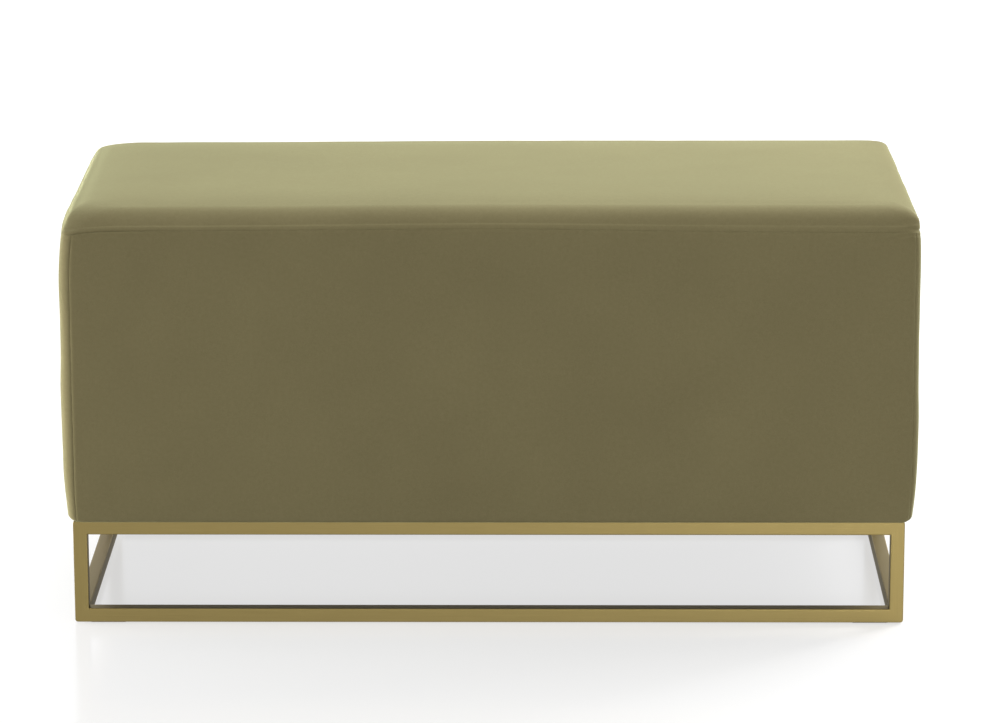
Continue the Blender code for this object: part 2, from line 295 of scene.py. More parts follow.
def outline_columns():
    """Columns round the seat, anticlockwise from the middle of the front left corner.

    Each has its place in x and y, from -1 to 1, and its direction outwards.
    """
    columns = []
    x, y = -1, -1
    for cells in (CELLS_ALONG, CELLS_ACROSS, CELLS_ALONG, CELLS_ACROSS):
        start = math.atan2(y, x) - math.pi / 4
        for step in range(CELLS_ROUND):
            angle = start + math.pi / 2 * step / CELLS_ROUND
            columns.append((x, y, math.cos(angle), math.sin(angle)))
        next_x, next_y = -y, x
        outwards = ((x + next_x) / 2, (y + next_y) / 2)
        for share in np.arange(cells) / cells:
            columns.append((x + (next_x - x) * share, y + (next_y - y) * share, *outwards))
        x, y = next_x, next_y
    return np.roll(columns, -(CELLS_ROUND // 2), axis=0)


COLUMNS = outline_columns()
COLUMN_COUNT = len(COLUMNS)
SIDE_CELLS = CELLS_ALONG + CELLS_ROUND
END_CELLS = CELLS_ACROSS + CELLS_ROUND


def columns_at(places):
    """Columns at places between the numbered ones."""
    first = np.floor(places).astype(int)
    share = (places - first)[:, None]
    mixed = (1 - share) * COLUMNS[first % COLUMN_COUNT] + share * COLUMNS[(first + 1) % COLUMN_COUNT]
    mixed[:, 2:] /= np.linalg.norm(mixed[:, 2:], axis=1)[:, None]
    return mixed


def outline(inset, heights, places, radius):
    """Points at places round the seat, at insets from its widest line and at heights."""
    columns = columns_at(places)
    x = columns[:, 0] * (HALF_WIDTH - inset - radius) + columns[:, 2] * radius
    y = columns[:, 1] * (HALF_DEPTH - inset - radius) + columns[:, 3] * radius
    return np.stack((x, y, np.broadcast_to(heights, x.shape)), axis=-1)


def set_on_base(points):
    """The seat's points as it sits on its base: to the right, and not quite true in plan."""
    x, y, z = np.moveaxis(points, -1, 0)
    towards_back = (y + HALF_DEPTH) / (2 * HALF_DEPTH)
    across = x * (1 - SEAT_TAPER * towards_back) + SEAT_SHIFT - SEAT_TURN * towards_back
    return np.stack((across, y + SEAT_SKEW * x * towards_back, z), axis=-1)


def wall_profile(bottom_round, draw_in):
    """The wall from its stapled edge up to the seam, as inset and height."""
    share = np.linspace(0, 1, PROFILE_STEPS + 1)
    angle = math.pi / 2 * share
    flap = ([FLAP_REACH], [COVER_BOTTOM])
    top = COVER_BOTTOM + bottom_round
    bend = (draw_in + bottom_round * (1 - np.sin(angle)), top - bottom_round * np.cos(angle))
    low = (draw_in * (1 - share) ** BOTTOM_DRAW_POWER, top + BOTTOM_DRAW_HEIGHT * share)
    high = (SEAM_DRAW_IN * share ** 2, SEAM_HEIGHT - SEAM_DRAW_HEIGHT * (1 - share))
    return np.concatenate((flap, bend, np.array(low)[:, 1:], high), axis=1).T


def rim_profile(depth, rise, lean, slope):
    """The rim, as inset and height: a lip that leans in, then part of an ellipse up to the top's slope."""
    first = math.atan(lean * rise / depth)
    last = math.atan(rise / (depth * slope))
    lip = RIM_HEIGHT - rise * (math.sin(last) - math.sin(first))
    angle = np.linspace(first, last, PROFILE_STEPS + 1)
    inset = SEAM_DRAW_IN + lean * lip + depth * (math.cos(first) - np.cos(angle))
    height = SEAM_HEIGHT + lip + rise * (np.sin(angle) - math.sin(first))
    return np.array([(SEAM_DRAW_IN, SEAM_HEIGHT), *zip(inset, height)])


def along(points):
    """Distance along a line of points."""
    steps = np.linalg.norm(np.diff(points, axis=0), axis=1)
    return np.concatenate(([0.0], np.cumsum(steps)))


WALL_PROFILE = wall_profile(FRONT_BOTTOM_ROUND, FRONT_BOTTOM_DRAW_IN)
END_WALL_PROFILE = wall_profile(BOTTOM_ROUND, BOTTOM_DRAW_IN)
FRONT_SLOPE = FRONT_CROWN * CROWN / (HALF_DEPTH - FRONT_ROUND)
END_SLOPE = END_CROWN * CROWN / (HALF_WIDTH - LEFT_ROUND)
FRONT_PROFILE = rim_profile(FRONT_ROUND, FRONT_RISE, FRONT_LEAN, FRONT_SLOPE)
LEFT_PROFILE = rim_profile(LEFT_ROUND, LEFT_RISE, LEFT_LEAN, END_SLOPE)
RIGHT_PROFILE = rim_profile(RIGHT_ROUND, RIGHT_RISE, RIGHT_LEAN, END_SLOPE)
SEAM_PLACE = along(WALL_PROFILE)[-1]
RIM_LENGTH = along(FRONT_PROFILE)[-1]
RIM_PLACE = SEAM_PLACE + RIM_LENGTH


def profile_at(rows, wall, rim):
    """Inset and height at distances up a wall and the rim above it."""
    wall_places = along(wall)
    wall_places *= SEAM_PLACE / wall_places[-1]
    rim_places = along(rim)
    rim_places *= RIM_LENGTH / rim_places[-1]
    places = np.concatenate((wall_places, SEAM_PLACE + rim_places[1:]))
    profile = np.concatenate((wall, rim[1:]))
    return np.stack([np.interp(rows, places, profile[:, axis]) for axis in range(2)], axis=-1)


def cover_points(rows, columns):
    """Points of the walls and rim, at distances up the profile and places round the outline."""
    across, _, outwards, _ = columns_at(columns).T
    front = profile_at(rows, WALL_PROFILE, FRONT_PROFILE)[:, None]
    left = profile_at(rows, END_WALL_PROFILE, LEFT_PROFILE)[:, None]
    right = profile_at(rows, END_WALL_PROFILE, RIGHT_PROFILE)[:, None]
    end = np.where(outwards[None, :, None] < 0, left, right)
    profile = front + (end - front) * outwards[None, :, None] ** 2
    up_the_rim = np.interp(rows, (SEAM_PLACE, RIM_PLACE), (0, 1))[:, None]
    low_radius = np.interp(across, (-1, 1), (LEFT_CORNER_RADIUS, CORNER_RADIUS))
    high_radius = np.interp(across, (-1, 1), (LEFT_RIM_RADIUS, RIGHT_RIM_RADIUS))
    radius = low_radius + (high_radius - low_radius) * up_the_rim
    return outline(profile[..., 0], profile[..., 1], columns, radius)


def cover_normals(rows, columns):
    """Outward directions at the same points."""
    below = np.clip(rows - NORMAL_STEP, 0, RIM_PLACE)
    above = np.clip(rows + NORMAL_STEP, 0, RIM_PLACE)
    up = cover_points(above, columns) - cover_points(below, columns)
    beside = cover_points(rows, columns + COLUMN_STEP) - cover_points(rows, columns - COLUMN_STEP)
    normals = np.cross(beside, up)
    return normals / np.linalg.norm(normals, axis=-1)[..., None]


def borders(ring, fold):
    """The front, right, rear and left borders of the grid inside a ring."""
    side = SIDE_CELLS * fold
    half = side + END_CELLS * fold
    ring = np.concatenate((ring, ring[:1]))
    return ring[:side + 1], ring[side:half + 1], ring[half:half + side + 1][::-1], ring[half + side:][::-1]


def filled(rim, crown, fold=1):
    """A grid of points inside a ring of them, raised towards its middle."""
    front, right, rear, left = borders(rim, fold)
    u = np.linspace(0, 1, len(front))[None, :, None]
    v = np.linspace(0, 1, len(left))[:, None, None]
    grid = (1 - v) * front[None] + v * rear[None] + (1 - u) * left[:, None] + u * right[:, None]
    grid -= (1 - v) * ((1 - u) * front[0] + u * front[-1]) + v * ((1 - u) * rear[0] + u * rear[-1])
    x, y = grid[..., 0], grid[..., 1]
    across = (x - x[:, :1]) / (x[:, -1:] - x[:, :1])
    back = (y - y[:1]) / (y[-1:] - y[:1])
    grid[..., 2] += crown * (1 - (2 * across - 1) ** END_CROWN) * (1 - (2 * back - 1) ** FRONT_CROWN)
    return grid


def rim_numbers(first, fold=1):
    """Point numbers of a grid inside a ring that starts at a number, and where they are new."""
    ring = first + np.arange(COLUMN_COUNT * fold)
    front, right, rear, left = borders(ring, fold)
    numbers = np.full((len(left), len(front)), -1)
    numbers[0] = front
    numbers[-1] = rear
    numbers[:, 0] = left
    numbers[:, -1] = right
    inside = numbers < 0
    numbers[inside] = first + len(ring) + np.arange(inside.sum())
    return numbers, inside


def capped(rings, fold=1):
    """Points, faces and numbers of rings with a crowned grid inside the last."""
    ring_numbers = numbered(rings)
    numbers, inside = rim_numbers(ring_numbers[-1, 0], fold)
    points = np.concatenate((rings.reshape(-1, 3), filled(rings[-1], CROWN, fold)[inside]))
    faces = np.concatenate((grid_faces(ring_numbers, closed=True), grid_faces(numbers)))
    return points, faces, ring_numbers, numbers, inside


# Places round the outline where the panels are sewn together
HALF_ROUND = CELLS_ROUND // 2
FRONT_LEFT_SEAM = HALF_ROUND - 1.0
FRONT_RIGHT_SEAM = HALF_ROUND + CELLS_ALONG + 3
BACK_RIGHT_SEAM = SIDE_CELLS + END_CELLS + HALF_ROUND
BACK_LEFT_SEAM = BACK_RIGHT_SEAM + CELLS_ALONG
PANEL_PLACES = {
    "front": (FRONT_LEFT_SEAM, FRONT_RIGHT_SEAM),
    "right": (FRONT_RIGHT_SEAM, BACK_RIGHT_SEAM),
    "back": (BACK_RIGHT_SEAM, BACK_LEFT_SEAM),
    "left": (BACK_LEFT_SEAM, COLUMN_COUNT + FRONT_LEFT_SEAM),
}


def simulate_cover():
    """Blows the cover out between its seams: how far its walls, rim and top swell."""
    wall_rows = np.linspace(0, SEAM_PLACE, WALL_ROWS)
    rim_rows = np.linspace(SEAM_PLACE, RIM_PLACE, RIM_ROWS)
    rings = cover_points(np.concatenate((wall_rows, rim_rows[1:])), np.arange(COLUMN_COUNT))
    points, faces, ring_numbers, numbers, _ = capped(rings)

    swell = np.zeros(len(points))
    shell = new_piece("cover_shell", points, faces)
    outwards = vectors_of(shell.data.vertex_normals, "vector")
    pins = shell.vertex_groups.new(name="pins")
    resting = rings[:WALL_ROWS, 0, 2] < COVER_BOTTOM + BOTTOM_ROUND
    held = ring_numbers[WALL_ROWS - 1].tolist()
    held += ring_numbers[:WALL_ROWS][resting].ravel().tolist()
    for seam in (FRONT_LEFT_SEAM, FRONT_RIGHT_SEAM, BACK_RIGHT_SEAM, BACK_LEFT_SEAM):
        held += ring_numbers[:WALL_ROWS, round(seam)].tolist()
    pins.add(sorted(set(held)), 1.0, "REPLACE")
    moved = np.sum((run_cloth(shell) - points) * outwards, axis=1)
    swell = SWELL_LIMIT * np.tanh(np.maximum(moved, 0.0) / SWELL_LIMIT)
    bpy.data.objects.remove(shell)
    swell = smoothed(swell, faces)
    return swell[ring_numbers[:WALL_ROWS]], swell[ring_numbers[WALL_ROWS - 1:]], swell[numbers]


def smoothed(values, faces):
    """Evens out values at the points of a mesh by averaging over its faces."""
    share = np.bincount(faces.ravel(), minlength=len(values))
    for _ in range(SMOOTHING):
        over_faces = values[faces].mean(axis=1)
        values = np.bincount(faces.ravel(), np.repeat(over_faces, 4), len(values)) / share
    return values


def run_cloth(shell):
    """The points after a run of Blender's cloth with pressure inside."""
    cloth = shell.modifiers.new("cloth", "CLOTH")
    for name, value in CLOTH_SETTINGS.items():
        setattr(cloth.settings, name, value)
    cloth.settings.effector_weights.gravity = 0
    cloth.collision_settings.use_collision = False
    for step in range(1, SIM_FRAMES + 1):
        scene.frame_set(step)
    settled = shell.evaluated_get(bpy.context.evaluated_depsgraph_get())
    points = vectors_of(settled.data.vertices, "co")
    scene.frame_set(1)
    return points


# Fine shape of the cover

def stations(length, first_rolls, last_rolls, step=FINE_STEP):
    """Distances along a panel, close together at its seams, with a step of cloth turned in behind each."""
    close = ROLL * (1 - np.cos(np.linspace(0, math.pi / 2, ROLL_STEPS + 1)))
    swelling = np.linspace(ROLL, BEAD_WIDTH, BEAD_STEPS)[1:]
    beyond = [share * BEAD_WIDTH for share in PAST_BEAD]
    close = np.concatenate(([-SKIRT], close, swelling, beyond))
    start = close if first_rolls else np.zeros(1)
    end = length - close[::-1] if last_rolls else np.array([length])
    count = max(2, round((end[0] - start[-1]) / step))
    middle = np.linspace(start[-1], end[0], count + 1)[1:-1]
    return np.concatenate((start, middle, end))


def groove(distance, depth=1.0):
    """How far the cloth dips at a distance from a seam."""
    share = 1 - np.clip(distance, 0, ROLL) / ROLL
    return depth * ROLL_DEPTH * (1 - np.sqrt(1 - share ** 2)) + np.maximum(-distance, 0)


def seam_depth(columns):
    """How deep the top seam lies: least at the ends, most near the front left corner."""
    across, _, outwards, ahead = columns_at(columns).T
    from_left = (1 + across) * HALF_WIDTH
    drawn = np.exp(-(from_left / CORNER_SEAM_REACH) ** 2) * np.clip(-ahead, 0, 1)
    return 1 - END_SEAM * outwards ** 2 + CORNER_SEAM * drawn


def bead(distance):
    """The low swelling just above a seam, over its turned-up allowance."""
    up = np.clip(distance / ROLL, 0, 1)
    down = np.clip((BEAD_WIDTH - distance) / BEAD_FALL, 0, 1)
    return BEAD_HEIGHT * up * up * (3 - 2 * up) * down * down * (3 - 2 * down)


WAVE_LENGTHS = np.exp(random.uniform(math.log(WAVE_SHORTEST), math.log(WAVE_LONGEST), WAVES))
WAVE_VECTORS = random.normal(size=(WAVES, 3))
WAVE_VECTORS /= np.linalg.norm(WAVE_VECTORS, axis=1)[:, None]
WAVE_VECTORS *= (2 * math.pi / WAVE_LENGTHS)[:, None]
WAVE_PHASES = random.uniform(0, 2 * math.pi, WAVES)
PUCKER_PHASES = random.uniform(0, 2 * math.pi, 3)


def unevenness(points):
    """Slow waves over the padding."""
    waves = np.sin(points @ WAVE_VECTORS.T + WAVE_PHASES)
    return WAVE_HEIGHT * waves.sum(axis=-1) / math.sqrt(WAVES / 2)


def puckers(place, distance):
    """Small gathers along a seam, at places along it and distances from it."""
    turn = place * (2 * math.pi / PUCKER_LENGTH)
    drifts = zip(PUCKER_DRIFTS, PUCKER_PHASES)
    drift = sum(size * np.sin(turn * pace + phase) for (size, pace), phase in drifts)
    strength = PUCKER_MEAN + (1 - PUCKER_MEAN) * np.sin(turn * PUCKER_CHANGE + PUCKER_PHASES[2])
    return PUCKER_HEIGHT * strength * np.sin(turn + drift) * np.exp(-distance / PUCKER_REACH)


def corner_gathers(points):
    """Short folds across the tops of the two front corners."""
    total = np.zeros(points.shape[:-1])
    for hand in (-1, 1):
        beside = np.hypot(points[..., 0] - hand * (HALF_WIDTH - GATHER_INSET), points[..., 1] + HALF_DEPTH)
        above = points[..., 2] - SEAM_HEIGHT
        near = np.exp(-(beside / GATHER_ALONG) ** 2) * np.exp(-(above / GATHER_UP) ** 2)
        slant = GATHER_SLANT * beside / GATHER_PITCH
        total += near * np.sin(2 * math.pi * (above / GATHER_PITCH + slant) + GATHER_PHASE * hand)
    return GATHER_HEIGHT * total


def corner_pull(points):
    """The pull of the seams on the two left corners."""
    total = np.zeros(points.shape)
    for direction, inwards, down in ((-1, PULL_IN, PULL_DOWN), (1, BACK_PULL_IN, BACK_PULL_DOWN)):
        corner = np.array((-HALF_WIDTH, direction * HALF_DEPTH, SEAM_HEIGHT))
        near = np.exp(-np.sum(((points - corner) / PULL_REACH) ** 2, axis=-1))
        total += near[..., None] * np.array((inwards, -PULL_ASIDE * direction * inwards, -down))
    return total


def seam_sag(points):
    """How far down the top seam and the cloth near it lie."""
    above = points[..., 2] - SEAM_HEIGHT
    towards_ends = 1 - np.exp(-(points[..., 0] / SEAM_SAG_LENGTH) ** 2)
    towards_back = np.clip((points[..., 1] + HALF_DEPTH) / (2 * HALF_DEPTH), 0, 1)
    left = SEAM_SAG_LEFT * np.exp(-((above - LEFT_SAG_ABOVE) / LEFT_SAG_REACH) ** 2)
    left *= 1 + (LEFT_SAG_BACK - 1) * towards_back
    right = SEAM_SAG_RIGHT * np.exp(-(above / RIGHT_SAG_REACH) ** 2)
    return np.where(points[..., 0] < 0, left, right) * towards_ends


def drawn(points):
    """Points of the cover or padding, moved as the seams draw them."""
    moved = points + corner_pull(points)
    moved[..., 2] -= seam_sag(points)
    return moved


def slump(points, normals):
    """How far the padding at the right end has moved out."""
    near = np.exp(-((points[..., 2] - SLUMP_HEIGHT) / SLUMP_REACH) ** 2)
    return SLUMP * near * np.clip(normals[..., 0], 0, 1)


def shaped(points, normals, lift, dip):
    """The cover's points moved out by swelling and unevenness, and in at seams."""
    free = np.clip((points[..., 2] - COVER_BOTTOM - HELD_BELOW) / FREE_OVER, 0, 1)
    waves = unevenness(points) * (1 - TOP_CALM * np.clip(normals[..., 2], 0, 1))
    rise = free * (lift - SWELL + waves + corner_gathers(points) + slump(points, normals)) - dip
    return set_on_base(drawn(points) + normals * rise[..., None])


def make_wall(name, swell):
    """One of the four side panels, with a seam at its top and both ends."""
    first, last = PANEL_PLACES[name]
    nearby = np.linspace(first - 1, last + 1, round(last - first + 2) * 4 + 1)
    across = along(cover_points([SEAM_PLACE / 2], nearby)[0])
    across -= np.interp(first, nearby, across)
    length = np.interp(last, nearby, across)
    column_places = stations(length, True, True)
    columns = np.interp(column_places, across, nearby)
    rows = stations(SEAM_PLACE, False, True)
    bend = np.linspace(FLAP_REACH - BOTTOM_DRAW_IN - BOTTOM_ROUND, FLAP_REACH + BEND_PAST, BEND_STEPS)
    apart = np.abs(rows[:, None] - bend).min(axis=1) > BEND_APART
    rows = np.sort(np.concatenate((rows[apart], bend)))
    points = cover_points(rows, columns)

    from_top = (SEAM_PLACE - rows)[:, None]
    from_end = np.minimum(column_places, length - column_places)[None]
    around = (first * HALF_WIDTH + column_places)[None]
    row_index = np.clip(rows / SEAM_PLACE, 0, 1) * (WALL_ROWS - 1)
    lift = spline(spline(swell, row_index, 0), columns, 1, closed=True)
    lift += puckers(around, np.maximum(from_top, 0))
    lift += END_PUCKERS * puckers(points[..., 2], np.maximum(from_end, 0))
    dip = np.maximum(groove(from_top, seam_depth(columns)), UPRIGHT_SEAM * groove(from_end))
    points = shaped(points, cover_normals(rows, columns), lift, dip)
    piece = new_piece(name + "_velvet", points, grid_faces(numbered(points)))
    thicken(piece, CLOTH)
    return piece


def make_top(rim_swell, top_swell):
    """The top panel: rings up from the seam, and a grid inside them."""
    from_seam = stations(RIM_PLACE - SEAM_PLACE, True, False, RIM_STEP)
    columns = np.arange(0, COLUMN_COUNT, 1 / FINE_FOLD)
    rings = cover_points(SEAM_PLACE + from_seam, columns)
    points, faces, ring_numbers, numbers, inside = capped(rings, FINE_FOLD)
    piece = new_piece("top_velvet", points, faces)

    normals = vectors_of(piece.data.vertex_normals, "vector")
    normals[:ring_numbers.size] = cover_normals(SEAM_PLACE + from_seam, columns).reshape(-1, 3)
    row_index = np.clip(from_seam / from_seam[-1], 0, 1) * (RIM_ROWS - 1)
    ring_lift = spline(spline(rim_swell, row_index, 0), columns, 1, closed=True)
    around = along(np.append(rings[0], rings[0][:1], axis=0))[:-1]
    depth = seam_depth(columns)
    ring_lift += puckers(around[None], np.maximum(from_seam, 0)[:, None])
    ring_lift += bead(from_seam)[:, None] * np.minimum(depth, 1.0)
    grid_lift = spline(top_swell, np.arange(numbers.shape[0]) / FINE_FOLD, 0)
    grid_lift = spline(grid_lift, np.arange(numbers.shape[1]) / FINE_FOLD, 1)
    lift = np.concatenate((ring_lift.ravel(), grid_lift[inside]))
    dip = np.zeros(len(points))
    dip[:ring_numbers.size] = groove(from_seam[:, None], depth).ravel()
    moved = shaped(points, normals, lift, dip).astype(np.float32)
    piece.data.vertices.foreach_set("co", moved.ravel())
    piece.data.update()
    thicken(piece, CLOTH)
    return piece


# Materials
NOISE_LOW = 0.3
NOISE_HIGH = 0.7
VELVET_DARK = (0.196, 0.167, 0.083)
VELVET_LIGHT = (0.216, 0.185, 0.092)
VELVET_DEEP = (0.13, 0.11, 0.05)
VELVET_TIPS = (0.30, 0.26, 0.13)
VELVET_SHINE = {
    "Specular IOR Level": 0.1,
    "Sheen Weight": 0.45,
    "Sheen Roughness": 0.40,
    "Sheen Tint": (0.95, 1.0, 0.58, 1.0),
}
METAL = {"Metallic": 1.0}
GOLD_DARK = (0.222, 0.170, 0.063)
GOLD_LIGHT = (0.270, 0.210, 0.082)
GOLD_CLOUD = (0.22, 0.165, 0.065)
ZINC_DARK = (0.50, 0.51, 0.52)
ZINC_LIGHT = (0.64, 0.64, 0.62)
FELT_DARK = (0.06, 0.042, 0.03)
FELT_LIGHT = (0.15, 0.11, 0.08)
PORES_FINER = 14
PORE_SHADE = 0.6
FOAM_DARK = (0.66, 0.58, 0.36)
FOAM_LIGHT = (0.76, 0.69, 0.46)
# Painted shade in the foam's pores
FOAM_PORE_SHADE = (0.42, 0.34, 0.18)
DUST_DARK = (0.012, 0.012, 0.012)
DUST_LIGHT = (0.04, 0.04, 0.041)


def new_material(name):
    material = bpy.data.materials.new(name)
    material.use_nodes = True
    return material, material.node_tree


def give(tree, node, inputs):
    """Sets inputs of a node, each to a value or to another node's output."""
    for name, value in inputs.items():
        if isinstance(value, bpy.types.NodeSocket):
            tree.links.new(value, node.inputs[name])
        else:
            node.inputs[name].default_value = value


def add_node(tree, kind, inputs=None, output=0, **settings):
    """One output of a new node."""
    node = tree.nodes.new(kind)
    for name, value in settings.items():
        setattr(node, name, value)
    give(tree, node, inputs or {})
    return node.outputs[output]


def add_noise(tree, vector, scale, detail=2.0, roughness=0.5):
    inputs = {"Vector": vector, "Scale": scale, "Detail": detail, "Roughness": roughness}
    return add_node(tree, "ShaderNodeTexNoise", inputs)


def add_cells(tree, vector, scale, randomness=1.0):
    """Distance from the middles of small cells."""
    inputs = {"Vector": vector, "Scale": scale, "Randomness": randomness}
    return add_node(tree, "ShaderNodeTexVoronoi", inputs)


def add_range(tree, value, new_low=0.0, new_high=1.0, low=NOISE_LOW, high=NOISE_HIGH):
    """A value brought from one range, most often that of noise, to a new one."""
    inputs = {"Value": value, "From Min": low, "From Max": high, "To Min": new_low, "To Max": new_high}
    return add_node(tree, "ShaderNodeMapRange", inputs)


def add_mix(tree, factor, first, second):
    """A mix of two colours, each written out or another node's output."""
    inputs = {0: factor}
    for index, colour in ((6, first), (7, second)):
        inputs[index] = (*colour, 1.0) if isinstance(colour, tuple) else colour
    return add_node(tree, "ShaderNodeMix", inputs, 2, data_type="RGBA")


def add_math(tree, operation, first, second=0.0):
    return add_node(tree, "ShaderNodeMath", {0: first, 1: second}, operation=operation)


def add_bump(tree, height, strength, distance, normal=None):
    inputs = {"Height": height, "Strength": strength, "Distance": distance}
    if normal is not None:
        inputs["Normal"] = normal
    return add_node(tree, "ShaderNodeBump", inputs)


def object_place(tree, stretch=(1, 1, 1)):
    """Object coordinates, stretched along the axes."""
    place = add_node(tree, "ShaderNodeTexCoord", output="Object")
    return add_node(tree, "ShaderNodeMapping", {"Vector": place, "Scale": stretch})


def dressed(material, colour, roughness, normal, shine=None):
    """The material, with what was made for it joined to its shader."""
    inputs = {"Base Color": colour, "Roughness": roughness, "Normal": normal}
    inputs.update(shine or {})
    give(material.node_tree, material.node_tree.nodes["Principled BSDF"], inputs)
    return material


def velvet_material():
    """Short olive pile: soft patches where it lies differently, fine fibres, and sheen."""
    material, tree = new_material("velvet")
    place = object_place(tree)
    patches = add_noise(tree, place, 7.0, detail=3.0)
    fibres = add_noise(tree, place, 1500.0)
    clumps = add_noise(tree, place, 240.0, detail=3.0)
    colour = add_mix(tree, add_range(tree, patches), VELVET_DARK, VELVET_LIGHT)
    colour = add_mix(tree, add_range(tree, clumps, 0.0, 0.16), colour, VELVET_DEEP)
    colour = add_mix(tree, add_range(tree, fibres, 0.0, 0.25, 0.35, 0.65), colour, VELVET_TIPS)
    normal = add_bump(tree, clumps, 0.12, 0.0008, add_bump(tree, fibres, 0.25, 0.0004))
    return dressed(material, colour, add_range(tree, clumps, 0.82, 0.95), normal, VELVET_SHINE)


def gold_material(name, grained):
    """Satin gold: brushed along the tube where the mesh says which way that is."""
    material, tree = new_material(name)
    if grained:
        tube = add_node(tree, "ShaderNodeUVMap", uv_map="tube")
        brushed = add_node(tree, "ShaderNodeMapping", {"Vector": tube, "Scale": (14.0, 2600.0, 1.0)})
        grain = add_noise(tree, brushed, 1.0, detail=4.0, roughness=0.6)
    else:
        grain = add_noise(tree, object_place(tree, (60.0, 2200.0, 2200.0)), 1.0, detail=3.0)
    cloud = add_noise(tree, object_place(tree), 16.0)
    colour = add_mix(tree, add_range(tree, grain, 0.0, 1.0, 0.25, 0.75), GOLD_DARK, GOLD_LIGHT)
    colour = add_mix(tree, add_range(tree, cloud, 0.0, 0.12, 0.35, 0.65), colour, GOLD_CLOUD)
    roughness = add_range(tree, grain, 0.34, 0.46, 0.25, 0.75)
    return dressed(material, colour, roughness, add_bump(tree, grain, 0.06, 0.0002), METAL)


def steel_material():
    """Zinc plating with a slight crystal pattern."""
    material, tree = new_material("zinc_steel")
    place = object_place(tree)
    fine = add_noise(tree, place, 1800.0, detail=3.0)
    tint = add_range(tree, add_cells(tree, place, 500.0), 0.0, 1.0, 0.0, 0.8)
    colour = add_mix(tree, tint, ZINC_DARK, ZINC_LIGHT)
    roughness = add_range(tree, fine, 0.30, 0.48)
    return dressed(material, colour, roughness, add_bump(tree, fine, 0.1, 0.0001), METAL)


def felt_material():
    """Matted brown fibres."""
    material, tree = new_material("felt")
    fibres = add_noise(tree, object_place(tree), 1400.0, detail=4.0, roughness=0.7)
    colour = add_mix(tree, add_range(tree, fibres), FELT_DARK, FELT_LIGHT)
    return dressed(material, colour, add_range(tree, fibres, 0.9, 1.0), add_bump(tree, fibres, 0.6, 0.0004))


def wood_material(name, dark, light, stretch, ring_scale):
    """Long grain along the board, with finer pores over it."""
    material, tree = new_material(name)
    place = object_place(tree, stretch)
    rings = add_noise(tree, place, ring_scale, detail=3.0, roughness=0.55)
    pores = add_noise(tree, place, ring_scale * PORES_FINER, detail=3.0)
    colour = add_mix(tree, add_range(tree, rings), dark, light)
    shade = tuple(PORE_SHADE * part for part in dark)
    colour = add_mix(tree, add_range(tree, pores, 0.0, 0.4, 0.52, 0.75), colour, shade)
    return dressed(material, colour, add_range(tree, rings, 0.6, 0.75), add_bump(tree, pores, 0.15, 0.0003))


def foam_material():
    """Open-celled foam, with painted shade in its pores."""
    material, tree = new_material("foam")
    place = object_place(tree)
    depth = add_cells(tree, place, 700.0)
    mottle = add_noise(tree, place, 40.0)
    colour = add_mix(tree, add_range(tree, mottle), FOAM_DARK, FOAM_LIGHT)
    # Painted shade: darker towards the middle of each cell, where the bump makes a pit
    colour = add_mix(tree, add_range(tree, depth, 0.5, 0.0, 0.0, 0.45), colour, FOAM_PORE_SHADE)
    roughness = add_range(tree, mottle, 0.88, 0.98)
    return dressed(material, colour, roughness, add_bump(tree, depth, 0.5, 0.0006))


def dust_cloth_material():
    """Thin black bonded cloth with a pressed pattern of small dimples."""
    material, tree = new_material("dust_cloth")
    fibres = add_noise(tree, object_place(tree, (3.0, 1.0, 1.0)), 600.0, detail=4.0, roughness=0.7)
    colour = add_mix(tree, add_range(tree, fibres), DUST_DARK, DUST_LIGHT)
    pressed = add_bump(tree, add_cells(tree, object_place(tree), 420.0, 0.15), 0.4, 0.0004)
    normal = add_bump(tree, fibres, 0.2, 0.0002, pressed)
    return dressed(material, colour, add_range(tree, fibres, 0.75, 0.95), normal)


VELVET = velvet_material()
GOLD = gold_material("brushed_gold", grained=True)
GOLD_PLATE = gold_material("gold_plate", grained=False)
STEEL = steel_material()
FELT = felt_material()
PLYWOOD = wood_material("plywood", (0.47, 0.32, 0.17), (0.60, 0.44, 0.26), (1.0, 8.0, 8.0), 9.0)
PINE = wood_material("pine", (0.56, 0.38, 0.19), (0.70, 0.53, 0.31), (8.0, 8.0, 1.0), 11.0)
FOAM = foam_material()
DUST_CLOTH = dust_cloth_material()


# Cover

wall_swell, rim_swell, top_swell = simulate_cover()
top_velvet = finish_piece(make_top(rim_swell, top_swell), VELVET, "velvet", "top_cover")
wall_velvets = {
    name: finish_piece(make_wall(name, wall_swell), VELVET, "velvet", name + "_cover")
    for name in PANEL_PLACES
}


# Foam under the cover
FOAM_INSET = 0.0050
FOAM_GAP = 0.0003
FOAM_EDGE = 0.002
SEAT_FOAM_STOP = 0.004
SIDE_FOAM = 0.0066
SIDE_FOAM_START = 0.012


def make_side_foam(name):
    """A sheet of foam under one of the four side panels."""
    first, last = PANEL_PLACES[name]
    places = np.linspace(first, last, round(last - first) + 1)
    profile = profile_at(np.linspace(0, SEAM_PLACE, WALL_ROWS), END_WALL_PROFILE, RIGHT_PROFILE)
    step = np.gradient(profile, axis=0)
    step /= np.linalg.norm(step, axis=1)[:, None]
    profile += FOAM_INSET * np.stack((step[:, 1], -step[:, 0]), axis=-1)
    profile = profile[(profile[:, 1] > BOARD_BOTTOM + SIDE_FOAM_START) & (profile[:, 1] < DECK_TOP)]
    rows = outline(profile[:, :1], profile[:, 1:], places, CORNER_RADIUS - FOAM_INSET)
    piece = new_piece(name + "_padding", set_on_base(drawn(rows)), grid_faces(numbered(rows)))
    thicken(piece, SIDE_FOAM)
    return piece


